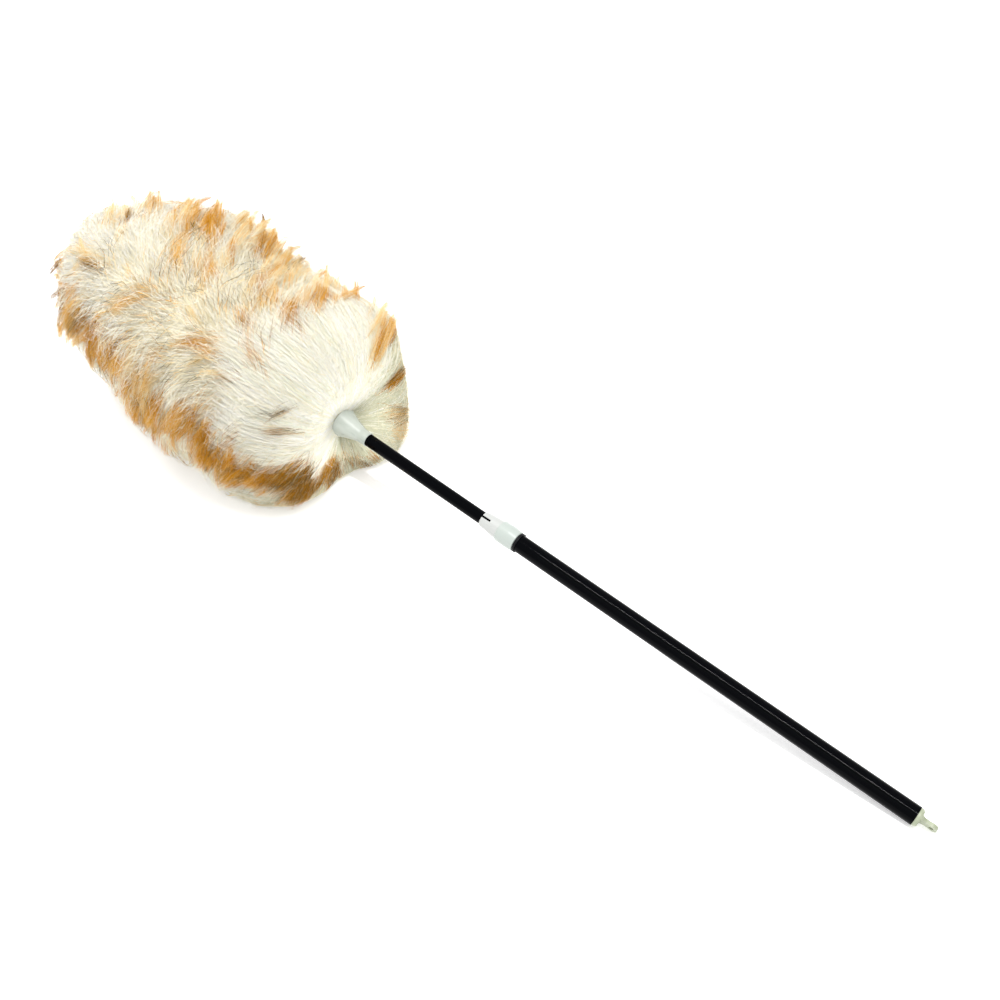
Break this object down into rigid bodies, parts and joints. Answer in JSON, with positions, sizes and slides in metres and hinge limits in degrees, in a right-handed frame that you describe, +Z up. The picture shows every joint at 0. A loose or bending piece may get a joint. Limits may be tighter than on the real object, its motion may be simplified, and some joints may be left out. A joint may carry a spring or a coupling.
{
  "type": "feather duster",
  "caption": "Telescoping duster with a fluffy lambswool head, plastic ferrule, twist-lock collar, black tubes and a hanging tab.",
  "frame": {"origin": "on the surface the duster lies on, under the middle of its whole length and width", "axes": "+X along the handle towards the hanging tab, +Y across it, +Z up; the handle rises towards the head at -X"},
  "size_m": [1.046, 0.232, 0.209],
  "materials": {
    "steel": "satin",
    "black_skin": "gloss",
    "black_plastic": "satin",
    "white_plastic": "satin",
    "cream_plastic": "satin",
    "wood": "matte",
    "hide": "matte",
    "wool": "matte"
  },
  "bodies": {
    "handle": {"outer_tube": "steel", "outer_skin": "black_skin", "end_cap": "cream_plastic", "collet": "black_plastic"},
    "lock_nut": {"lock_nut": "white_plastic"},
    "extension": {"inner_tube": "steel", "inner_skin": "black_skin", "stop_bushing": "white_plastic", "ferrule": "white_plastic", "core_rod": "wood", "pelt_strip": "hide", "pelt_staples": "steel", "end_pelt": "hide", "end_washer": "steel", "end_screw": "steel", "wool_pile": "wool"}
  },
  "joints": [
    {"name": "head_slide", "type": "slide", "parent": "handle", "child": "extension", "axis": [-0.9949, 0, 0.101], "range_m": [-0.138, 0.17]},
    {"name": "collar_twist", "type": "hinge", "parent": "handle", "child": "lock_nut", "pos_m": [0.07607, 0, 0.05212], "axis": [-0.9949, 0, 0.101], "range_deg": [0, 180]}
  ]
}
